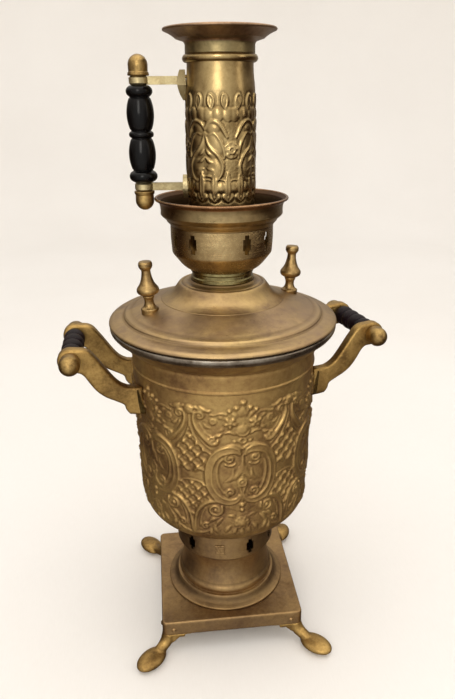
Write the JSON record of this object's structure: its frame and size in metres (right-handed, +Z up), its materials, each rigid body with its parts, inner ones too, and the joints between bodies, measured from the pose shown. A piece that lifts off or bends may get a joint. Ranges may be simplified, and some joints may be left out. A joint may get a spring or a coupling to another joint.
{
  "type": "charcoal samovar",
  "caption": "Charcoal-fired urn with an embossed vessel, lift-off lid, pierced crown, handled flue pipe, side handles and a rear tap on a square footed base.",
  "frame": {"origin": "on the floor under the axis of the vessel", "axes": "+Z up along the axis of the vessel; the square base is aligned with X and Y; the tap points along +Y and the pictured side faces -Y"},
  "size_m": [0.3162, 0.2717, 0.5919],
  "materials": {
    "body_brass": "aged, embossed, satin",
    "base_brass": "aged, satin",
    "cast_brass": "cast, pitted, satin",
    "fastener_brass": "satin",
    "nickel": "dull nickel plate",
    "sooty_brass": "sooty",
    "iron": "rough",
    "dark_wood": "dark stained, satin",
    "black_wood": "black lacquer, gloss",
    "steel": "satin",
    "tap_brass": "satin",
    "washer_leather": "matte",
    "lid_brass": "dull, dusty",
    "bright_brass": "polished",
    "knob_brass": "satin",
    "crown_brass": "spun, satin",
    "pipe_brass": "embossed, satin"
  },
  "bodies": {
    "stand": {"base_plate": "base_brass", "foot_front_left": "cast_brass", "foot_front_right": "cast_brass", "foot_rear_left": "cast_brass", "foot_rear_right": "cast_brass", "foot_rivets": "fastener_brass", "pedestal": "body_brass", "ash_floor": "base_brass", "vent_ring": "body_brass", "vent_seam_patch": "body_brass", "vessel_wall": "body_brass", "rim_ring": "nickel", "fire_tube": "sooty_brass", "handle_bracket_left_front": "cast_brass", "handle_bracket_left_rear": "cast_brass", "handle_bracket_right_front": "cast_brass", "handle_bracket_right_rear": "cast_brass", "handle_grip_left": "dark_wood", "handle_grip_right": "dark_wood", "handle_rod_left": "steel", "handle_rod_right": "steel", "handle_cap_nuts": "fastener_brass", "bracket_rivets": "fastener_brass", "tap_rosette": "tap_brass", "tap_body": "tap_brass", "tap_washer": "washer_leather", "tap_back_nut": "tap_brass"},
    "grate": {"grate": "iron"},
    "lid": {"lid_disc": "lid_brass", "lid_cone": "bright_brass", "lid_locating_ring": "lid_brass", "lid_knob_left": "knob_brass", "lid_knob_right": "knob_brass", "lid_knob_nuts": "fastener_brass"},
    "crown": {"crown_neck": "bright_brass", "crown_drum": "crown_brass", "crown_gallery": "crown_brass"},
    "pipe": {"pipe_tube": "pipe_brass", "pipe_bead": "pipe_brass", "pipe_flange": "pipe_brass", "pipe_arm_upper": "cast_brass", "pipe_arm_lower": "cast_brass", "pipe_plate_upper": "cast_brass", "pipe_plate_lower": "cast_brass", "pipe_rivets": "fastener_brass", "pipe_grip": "black_wood", "pipe_rod": "steel", "pipe_nut_upper": "fastener_brass", "pipe_nut_lower": "fastener_brass"},
    "tap_key": {"tap_key": "tap_brass", "tap_plug_nut": "tap_brass"}
  },
  "joints": [
    {"name": "lid_lift", "type": "slide", "parent": "stand", "child": "lid", "axis": [0, 0, 1], "range_m": [0, 0.1]},
    {"name": "crown_lift", "type": "slide", "parent": "lid", "child": "crown", "axis": [0, 0, 1], "range_m": [0, 0.06]},
    {"name": "pipe_lift", "type": "slide", "parent": "crown", "child": "pipe", "axis": [0, 0, 1], "range_m": [0, 0.08]},
    {"name": "tap_turn", "type": "hinge", "parent": "stand", "child": "tap_key", "pos_m": [0, 0.128, 0.18], "axis": [0, 0, 1], "range_deg": [0, 90]},
    {"name": "grate_lift", "type": "slide", "parent": "stand", "child": "grate", "axis": [0, 0, 1], "range_m": [0, 0.24]}
  ]
}
